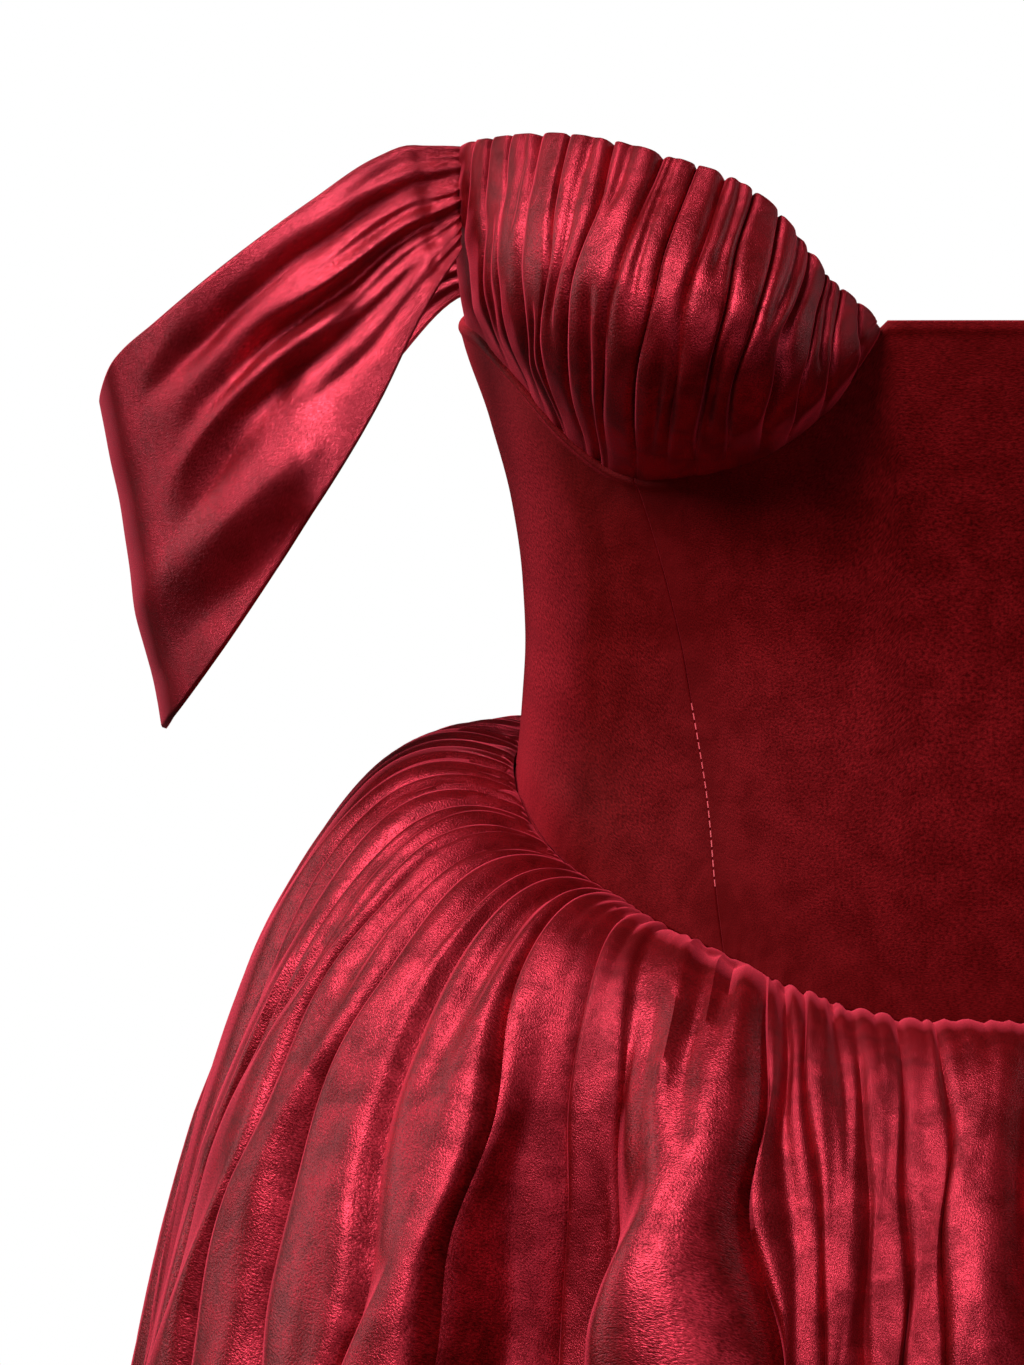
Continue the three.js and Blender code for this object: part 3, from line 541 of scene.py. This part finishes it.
sleeve = {
    "size": {"width": 190, "length": 330, "area": 0.035, "thickness": 1.1, "grid": (190, 110)},
    "endWidth": 35, "middleWidth": 120,
    "frontY": -60, "ridgeY": 2, "backY": 57.4, "frontPuff": 14, "backPuff": 10,
    "backFolds": 0.75,  # how deep the folds are behind the arm, against those in front
    "rolledSeam": 1.5, "besideSeam": 1.8, "fineGathers": 1.1, "edgeTurn": 1.5, "unevenness": 0.4,
    "frontTopX": [(0, 166.5), (0.084, 183), (0.167, 195), (0.338, 217), (0.568, 245.5), (0.776, 270.5),
                  (0.902, 285), (1, 291)],
    "frontTopZ": [(0, 163.5), (0.084, 164), (0.167, 160), (0.338, 145.5), (0.568, 125), (0.776, 105.5),
                  (0.902, 93.5), (1, 82)],
    "frontLowX": [(0, 167), (0.135, 181), (0.294, 194.5), (0.459, 210.5), (0.628, 228.5), (0.8, 247),
                  (0.932, 262), (1, 270)],
    "frontLowZ": [(0, 129), (0.135, 105.5), (0.294, 78), (0.459, 51), (0.628, 24.5), (0.8, -2),
                  (0.932, -21.5), (1, -30.5)],
    "backTopX": [(0, 139.5), (0.14, 165), (0.34, 203), (0.56, 237), (0.78, 268), (0.9, 284), (1, 291)],
    "backTopZ": [(0, 143), (0.14, 152), (0.34, 147), (0.56, 130), (0.78, 107), (0.9, 94), (1, 82)],
    "backLowX": [(0, 139.5), (0.14, 163), (0.32, 190), (0.5, 212), (0.7, 236), (0.88, 258), (1, 270)],
    "backLowZ": [(0, 113), (0.14, 121), (0.32, 98), (0.5, 62), (0.7, 25), (0.88, -8), (1, -30.5)],
    # troughs, or ridges where the depth is below 0, by their line across the sleeve at places along it
    "foldPlaces": (0, 0.3, 0.57, 0.85),
    "folds": [
        {"line": (0.30, 0.20, 0.15, 0.18), "depth": 7.0, "width": 0.05, "start": 0.0, "end": 0.9},
        {"line": (0.60, 0.43, 0.34, 0.36), "depth": 8.0, "width": 0.05, "start": 0.0, "end": 0.8},
        {"line": (0.80, 0.62, 0.50, 0.46), "depth": 5.0, "width": 0.045, "start": 0.05, "end": 0.72},
        {"line": (0.12, 0.08, 0.06, 0.05), "depth": 2.6, "width": 0.04, "start": 0.0, "end": 0.35},
        {"line": (0.44, 0.31, 0.24, 0.24), "depth": 4.2, "width": 0.03, "start": 0.0, "end": 0.46},
        {"line": (0.70, 0.54, 0.43, 0.41), "depth": 4.2, "width": 0.035, "start": 0.0, "end": 0.44},
        {"line": (0.90, 0.76, 0.64, 0.60), "depth": 3.2, "width": 0.05, "start": 0.0, "end": 0.6},
        {"line": (0.52, 0.37, 0.28, 0.30), "depth": -3.0, "width": 0.035, "start": 0.0, "end": 0.6},
        {"line": (0.70, 0.52, 0.42, 0.44), "depth": -3.4, "width": 0.05, "start": 0.25, "end": 0.9},
        {"line": (0.60, 0.50, 0.52, 0.60), "depth": 5.0, "width": 0.09, "start": 0.42, "end": 0.98},
        {"line": (0.98, 0.90, 0.78, 0.66), "depth": -5.0, "width": 0.13, "start": 0.4, "end": 1.1},
        {"line": (1.00, 0.98, 0.94, 0.86), "depth": 4.0, "width": 0.1, "start": 0.5, "end": 1.1},
    ],
}
sleeveTracks = {key: track(rows) for key, rows in sleeve.items() if key[-1] in "XZ"}


def sleeveBase(u, v):
    front = u <= 1
    turn = np.where(front, u, 2 - u) * np.pi / 2
    share = np.sin(turn)
    end = np.where(front, sleeve["frontY"], sleeve["backY"])
    y = sleeve["ridgeY"] + (end - sleeve["ridgeY"]) * np.cos(turn)
    y = y + np.where(front, -sleeve["frontPuff"], sleeve["backPuff"]) * np.sin(2 * turn)
    edges = {}
    for axis in "XZ":
        for edge in ("Top", "Low"):
            edges[edge + axis] = np.where(front, sleeveTracks["front" + edge + axis](share),
                                          sleeveTracks["back" + edge + axis](share))
    return np.stack([mix(edges["TopX"], edges["LowX"], v), y, mix(edges["TopZ"], edges["LowZ"], v)], -1)


def sleeveSurface(side):
    def surface(u, v):
        u, v = np.clip(2 * u, 0.002, 1.998), towardsEdges(v, 0.3)
        along = np.sin(np.where(u <= 1, u, 2 - u) * np.pi / 2)
        plain = np.where(u <= 1, 1, sleeve["backFolds"])
        sink = sleeve["unevenness"] * sway(3 * along + 8 * v, 4)
        for fold in sleeve["folds"]:
            line = track(list(zip(sleeve["foldPlaces"], fold["line"])))(along)
            line = line + 0.012 * sway(9 * along, 3 + fold["depth"])
            run = smooth((along - fold["start"]) / 0.12 + (fold["start"] <= 0))
            run = run * smooth((fold["end"] - along) / 0.3)
            grow = np.clip(0.3 + 3.4 * along, 0, 1)
            across = (v - line) / (fold["width"] * mix(1.25, 1.0, np.clip(3 * along, 0, 1)))
            sink = sink + fold["depth"] * run * grow * plain * np.exp(-np.abs(across) ** 1.7)
        # a rolled seam where it joins the cup, with a crease beyond it
        sink = sink - sleeve["rolledSeam"] * np.exp(-((along - 0.02) / 0.018) ** 2)
        sink = sink + sleeve["besideSeam"] * np.exp(-((along - 0.062) / 0.02) ** 2)
        # fine gathers right at the seam
        ripple = 0.5 + 0.5 * np.sin(58 * v + 2 * sway(9 * v, 2))
        sink = sink + sleeve["fineGathers"] * np.exp(-along / 0.05) * ripple
        # the free edges are turned in
        width = mix(sleeve["endWidth"], sleeve["middleWidth"], along)
        sink = sink + turnIn(np.minimum(v, 1 - v) * width, sleeve["edgeTurn"])
        facing = np.stack([np.sin(np.pi * u / 2), -np.cos(np.pi * u / 2), 0.1 + 0 * u], -1)
        normal = outwards(sleeveBase, u, v, facing)
        return (sleeveBase(u, v) - normal * sink[..., None]) * [side, 1, 1]
    return surface


for side, hand in sides:
    layCloth("sleeve_cloth_" + hand, "sleeve_" + hand, sleeveSurface(side), sleeve["size"], sleeveVelvet,
             axis=(side * 205, 0))
print("sleeves laid")


# Peplum

peplum = {
    "frontLength": 196, "sideLength": 282, "backLength": 278, "waistPuff": 1.2, "hemPuff": 0.46, "off": 0.35,
    "waistRadius": 150, "steepness": 4.5,
    "wander": 0.26,  # how far a fold strays to either side, as a share of its width
    "fineGathers": 2.6, "gatherStep": 1.9, "shallowCreases": 1.2, "swell": 4,
    "sideSlope": [(0, 24), (20, 0), (36, -27), (55, -50), (90, -63), (140, -73), (300, -80)],
    "frontSlope": [(0, 14), (20, -16), (36, -34), (55, -50), (90, -64), (140, -72), (300, -78)],
    # valleys between the folds of one quarter: their angles at the seam and at the hem, and their depth
    "valleys": [(4, 2.5, 0.9), (7.5, 6, 1), (11.6, 9, 0.9), (17, 12.5, 1), (21.4, 16, 0.9),
                (34.5, 30.5, 0.6), (38, 37, 0.6), (43, 45, 1), (48, 53.5, 0.9), (54, 61.5, 1),
                (60, 69, 1), (69, 76.5, 1), (79, 83.3, 0.9)],
    # how a valley goes on: its strength near the seam, halfway and at the hem
    "runs": [(0.9, 0.6, 0.4), (0.8, 0.9, 0.6), (1.0, 0.8, 0.9), (0.8, 0.5, 0.4), (1.0, 1.0, 1.0),
             (0.9, 1.0, 1.0), (0.7, 0.6, 0.5), (0.9, 1.0, 1.0), (1.0, 0.7, 0.4), (0.9, 1.0, 0.9),
             (0.8, 0.9, 1.0), (1.0, 0.6, 0.5), (1.0, 0.9, 0.8)],
    # the cloth that falls behind the broad front fold: its angles at the seam, and how far it is sunk
    "hollow": {"from": 32.5, "to": 43.5, "sunk": 30},
    # smaller creases in one quarter: angle at the seam, lean, start and end along the cloth, width and depth
    "short": [(14.2, -1.2, 0.0, 0.5, 0.8, 2.7), (19.3, 0.8, 0.0, 0.7, 0.8, 3.2),
              (24.6, 3.0, 0.0, 0.45, 1.1, 4.3), (28.4, -2.5, 0.0, 0.6, 1.2, 4.6),
              (31.6, 2.0, 0.15, 0.8, 1.2, 3.0), (45.4, 1.5, 0.0, 0.6, 1.0, 4.0),
              (50.8, -2.0, 0.0, 0.4, 0.9, 3.8), (56.8, 2.4, 0.0, 0.55, 1.0, 4.0),
              (63.2, 2.6, 0.0, 0.5, 1.1, 4.6), (66.4, -2.4, 0.05, 0.6, 1.0, 3.5),
              (73.0, 3.2, 0.0, 0.5, 1.2, 4.6), (76.3, -1.6, 0.0, 0.35, 1.0, 3.5),
              (84.8, 1.0, 0.0, 0.45, 1.8, 1.6)],
    "front": {"width": 960, "length": 290, "area": 0.218, "thickness": 1.1, "grid": (440, 84)},
    "back": {"width": 520, "length": 285, "area": 0.121, "thickness": 1.1, "grid": (220, 72)},
}


def quarter(turn, uneven, shuffle):
    rows = []
    for i, (seam, hem, depth) in enumerate(peplum["valleys"]):
        shift = uneven * math.sin(2.3 * i + turn(1))
        rows.append((turn(seam + shift), turn(hem + shift), depth,
                     *peplum["runs"][(i + shuffle) % len(peplum["runs"])]))
    return rows


valleys = sorted(
    [(angle, angle, 0.8, 1.0, 0.9, 0.8) for angle in (-180, -90, 90, 180)]
    + quarter(lambda a: -a, 0, 0) + quarter(lambda a: a, 0.9, 5)
    + quarter(lambda a: a - 180, 1.1, 3) + quarter(lambda a: 180 - a, 1.1, 8)
)
seamAngle, hemAngle, valleyDepth, runSeam, runMiddle, runHem = np.array(valleys, float).T
foldMiddles = np.arange(len(valleys) - 1) + 0.5
seamSpanAt = track(list(zip(foldMiddles, np.diff(seamAngle))))
hemSpanAt = track(list(zip(foldMiddles, np.diff(hemAngle))))
foldDepths = track(list(enumerate(valleyDepth)))
sideSlopeAt, frontSlopeAt = track(peplum["sideSlope"]), track(peplum["frontSlope"])


# how far out and up the cloth has come after a length of it
def fallOf(aside, along):
    out, up = 0, 0
    steps = 24
    for k in range(steps):
        s = along * (k + 0.5) / steps
        slope = np.radians(mix(frontSlopeAt(s), sideSlopeAt(s), aside))
        out = out + np.cos(slope) * along / steps
        up = up + np.sin(slope) * along / steps
    return out, up, np.radians(mix(frontSlopeAt(along), sideSlopeAt(along), aside))


def peplumLength(angle):
    a = np.abs(angle)
    toSide = np.sin(np.radians(np.minimum(a, 90))) ** 1.3
    front = mix(peplum["frontLength"], peplum["sideLength"], toSide)
    return np.where(a <= 90, front, mix(peplum["sideLength"], peplum["backLength"], (a - 90) / 90))


def peplumSurface(fromAngle, toAngle):
    first = int(np.argmin(np.abs(seamAngle - fromAngle)))
    last = int(np.argmin(np.abs(seamAngle - toAngle)))

    def surface(u, v):
        v = v ** 1.35  # more rows near the seam
        u = mix(first + 0.001, last - 0.001, u)
        inner = smooth(np.minimum(u - first, last - u))
        i = np.clip(np.floor(u).astype(int), 0, len(valleys) - 2)
        within = u - i
        near = np.where(within < 0.5, i, i + 1)
        # the folds sweep from their places at the seam to those at the hem, early on
        swept = 1 - (1 - np.clip(v, 0, 1)) ** 3
        atSeam = mix(seamAngle[i], seamAngle[i + 1], within)
        angle = mix(atSeam, mix(hemAngle[i], hemAngle[i + 1], within), swept)
        span = mix(seamSpanAt(u), hemSpanAt(u), swept)
        angle = angle + inner * peplum["wander"] * sway(5.1 * v + 1.3 * u, 2) * smooth(v * 2) * span
        along = v * peplumLength(angle)
        seam = waistSeamAt(np.abs(angle)) - bodice["gap"]
        start = onFigure(angle, seam)
        aside = np.sin(np.radians(np.minimum(np.abs(angle), 90))) ** 2
        out, up, slope = fallOf(aside, along)
        away = unit(outOfFigure(angle, seam) * [1, 1, 0])
        foldWidth = np.radians(span) * (peplum["waistRadius"] + out)
        arch = fullArch(within, 0.8 * np.sin(1.9 * i + 0.4), peplum["steepness"])
        strength = np.where(v < 0.45, mix(runSeam[near], runMiddle[near], smooth(v / 0.45)),
                            mix(runMiddle[near], runHem[near], smooth((v - 0.45) / 0.55)))
        crown = 1 - (1 - arch) * strength
        depth = mix(peplum["waistPuff"], peplum["hemPuff"] * foldWidth, np.clip(v * 1.6, 0, 1) ** 0.8)
        puff = crown * depth * foldDepths(u) * (1 + 0.2 * sway(5 * v + atSeam / 5, 5))
        inQuarter = np.where(np.abs(atSeam) < 90, np.abs(atSeam), 180 - np.abs(atSeam))
        hollow = peplum["hollow"]
        behind = smooth((inQuarter - hollow["from"]) / 3) * smooth((hollow["to"] - inQuarter) / 3)
        puff = puff - hollow["sunk"] * behind * smooth((v - 0.2) / 0.6)
        for place, lean, begin, end, width, deep in peplum["short"]:
            run = smooth((v - begin) / 0.15 + (begin <= 0)) * smooth((end - v) / 0.3)
            off = inQuarter - place - lean * v + 0.5 * np.sin(5 * v + place + np.sign(atSeam))
            puff = puff - deep * run * smooth(along / 12) * np.exp(-(off / width) ** 2)
        # the small gathers at the seam run out within about 40 mm, some sooner
        fine = np.exp(-along / (26 + 16 * sway(0.9 * atSeam, 4)))
        ripple = np.abs(np.sin(np.pi * atSeam / peplum["gatherStep"] + 1.8 * sway(atSeam / 3, 3))) ** 0.7
        puff = puff + peplum["fineGathers"] * fine * (ripple - 0.6) * smooth(along / 4 + 0.2)
        # shallow creases within the folds, and a slow swell all round
        uneven = sway(1.1 * atSeam + 6 * v, 7) * sway(5 * v + atSeam / 9, 8)
        puff = puff + peplum["shallowCreases"] * smooth(v * 3) * uneven
        puff = puff + peplum["swell"] * smooth(v) * sway(angle / 14, 9)
        points = start + away * (peplum["off"] + out + puff * np.maximum(0, -np.sin(slope)))[..., None]
        points[..., 2] += up + puff * np.cos(slope)
        return points
    return surface


layCloth("peplum_front_cloth", "peplum_front", peplumSurface(-90, 90), peplum["front"],
         gatheredVelvet, upward=0.6)
layCloth("peplum_back_cloth_left", "peplum_back_left", peplumSurface(90, 180), peplum["back"],
         gatheredVelvet, upward=0.6)
layCloth("peplum_back_cloth_right", "peplum_back_right", peplumSurface(-180, -90), peplum["back"],
         gatheredVelvet, upward=0.6)
print("peplum laid")


# Skirt

skirt = {
    "hem": -720, "waistTurn": 0.8, "hemTurn": 1.6,
    "front": {"width": 500, "length": 680, "area": 0.287, "thickness": 1.2, "across": 520,
              "grid": (130, 125)},
    "back": {"width": 264, "length": 692, "area": 0.162, "thickness": 1.2, "across": 260,
             "grid": (75, 125)},
}
# the skirt's folds: from and to (angle, height), then width and depth
skirtFrontFolds = [(-84, -262, -30, -400, 11, 4.5), (82, -270, 22, -425, 12, 5),
                   (-40, -300, 16, -392, 9, 3.5), (60, -390, 50, -716, 13, 5.5),
                   (-66, -400, -52, -716, 12, 6), (-14, -470, -24, -718, 11, 4.5),
                   (10, -430, 20, -716, 12, 4), (84, -350, 76, -640, 10, 4),
                   (-34, -520, -38, -716, 10, 4)]
skirtBackFolds = [(97, -262, 146, -370, 12, 5), (177, -280, 140, -400, 11, 4.5),
                  (122, -400, 130, -716, 13, 6), (160, -440, 153, -716, 12, 5),
                  (104, -430, 100, -700, 10, 4), (172, -400, 175, -716, 9, 4)]


def hemAt(angle):
    return skirt["hem"] + 0 * angle


layCloth("skirt_front_cloth", "skirt_front",
         panel((-90, 90), (-90, 90), hemAt, belowWaist, skirt["front"], skirt["waistTurn"],
               skirt["hemTurn"], creases=skirtFrontFolds),
         skirt["front"], bodiceVelvet)
for side, hand in sides:
    layCloth("skirt_back_cloth_" + hand, "skirt_back_" + hand,
             panel((90, 180), (90, 180), hemAt, belowWaist, skirt["back"], skirt["waistTurn"],
                   skirt["hemTurn"], side, creases=skirtBackFolds),
             skirt["back"], bodiceVelvet)
print("skirt laid")


# Zip tape: woven polyester, with ribs across it

tape = {
    "rib": 1.578,  # drawn coarser than on a real tape
    # deep is painted shade in the grooves between the ribs, light is their crests
    "relief": 0.2, "deep": "#240306", "light": "#3c060b",
}


def wovenTape():
    material, tree, shader = newMaterial("woven_polyester_tape", 0.8)
    place = node(tree, "TexCoord")
    # a wave of scale 1 has its crests a tenth of pi apart
    ribs = node(tree, "TexWave",
                {"bands_direction": "Z", "Scale": math.pi / 10 * 1000 / tape["rib"], "Distortion": 0.4},
                Vector=place.outputs["Object"])
    # the tape is painted darker in the grooves between its ribs and lighter on their crests: painted shade
    ramp = node(tree, "ValToRGB", Fac=ribs.outputs["Fac"])
    ramp.color_ramp.elements[0].color = linear(tape["deep"])
    ramp.color_ramp.elements[1].color = linear(tape["light"])
    tree.links.new(ramp.outputs["Color"], shader.inputs["Base Color"])
    bump = node(tree, "Bump", {"Strength": 0.5, "Distance": tape["relief"] / 1000},
                Height=ribs.outputs["Fac"])
    tree.links.new(bump.outputs["Normal"], shader.inputs["Normal"])
    shader.inputs["Specular IOR Level"].default_value = 0.2
    return material


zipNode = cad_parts["back_zip"]
zipNode.data.materials.clear()
zipNode.data.materials.append(wovenTape())


# Studio: floor, soft lights, backdrop and the camera

studio = {
    "floor": "#f4f3f2", "radius": 1.25, "belowHem": 2,
    "backdropLight": 0.035,
    "distance": 2.5,  # metres from the camera to the dress's middle
    "centre": (-150.6, -14.45), "high": 464.1,  # what the frame shows there, in millimetres
    "sensor": 24,
    # each lamp's place and what it faces, in metres, then its width and height, and its watts
    "lamps": {
        "key_light": ((-1.3, -1.5, 1.8), (-0.1, 0, 0), (1.1, 1.1), 114),
        "fill_light": ((0.4, -2.6, 0.2), (-0.1, 0, -0.1), (1.6, 1.4), 18),
        "left_rim_light": ((-1.9, 0.4, 0.6), (-0.1, 0, 0), (0.5, 1.4), 12),
        "right_rim_light": ((1.9, 0.6, 0.6), (0.1, 0, 0), (0.7, 1.6), 10),
        "back_light": ((0.7, 2.5, 1.5), (0, 0, -0.2), (1.2, 1.4), 70),
    },
}


def paleFloor():
    bpy.ops.object.select_all(action="DESELECT")
    bpy.ops.mesh.primitive_circle_add(radius=studio["radius"], vertices=96, fill_type="NGON",
                                      location=(0, 0, (skirt["hem"] - studio["belowHem"]) / 1000))
    floor = bpy.context.object
    floor.name = "studio_floor"
    paint, _, shader = newMaterial("matt_floor_paint", 0.9)
    shader.inputs["Base Color"].default_value = linear(studio["floor"])
    floor.data.materials.append(paint)
    # the dress is lit from above and the left, with no light thrown up from the floor
    floor.visible_diffuse = False
    floor.visible_glossy = False


paleFloor()


def softLight(name, place, aim, size, power):
    bpy.ops.object.light_add(type="AREA", location=place)
    lamp = bpy.context.object
    lamp.name = name
    lamp.data.shape = "RECTANGLE"
    lamp.data.size, lamp.data.size_y = size
    lamp.data.energy = power
    direction = np.array(aim) - np.array(place)
    lamp.rotation_euler = (math.acos(-direction[2] / np.linalg.norm(direction)), 0,
                           math.atan2(direction[1], direction[0]) - math.pi / 2)


for name, (place, aim, size, power) in studio["lamps"].items():
    softLight(name, place, aim, size, power)
# the back light gives no shine along the folds' tops in front
bpy.data.objects["back_light"].visible_glossy = False

world = bpy.context.scene.world or bpy.data.worlds.new("studio")
bpy.context.scene.world = world
world.use_nodes = True
# a white backdrop to look at, that lights the dress only a little
sky = world.node_tree
backdrop = sky.nodes["Background"]
backdrop.inputs["Color"].default_value = linear("#ffffff")
seen = sky.nodes.new("ShaderNodeLightPath")
strength = node(sky, "MapRange", {"To Min": studio["backdropLight"], "To Max": 1.0},
                Value=seen.outputs["Is Camera Ray"])
sky.links.new(strength.outputs["Result"], backdrop.inputs["Strength"])

across, height = studio["centre"]
bpy.ops.object.camera_add(location=(across / 1000, -studio["distance"], height / 1000),
                          rotation=(math.pi / 2, 0, 0))
camera = bpy.context.object
camera.data.sensor_fit = "VERTICAL"
camera.data.sensor_height = studio["sensor"]
camera.data.lens = studio["sensor"] * studio["distance"] * 1000 / studio["high"]
bpy.context.scene.camera = camera
bpy.context.scene.view_settings.view_transform = "Standard"
print("studio set")
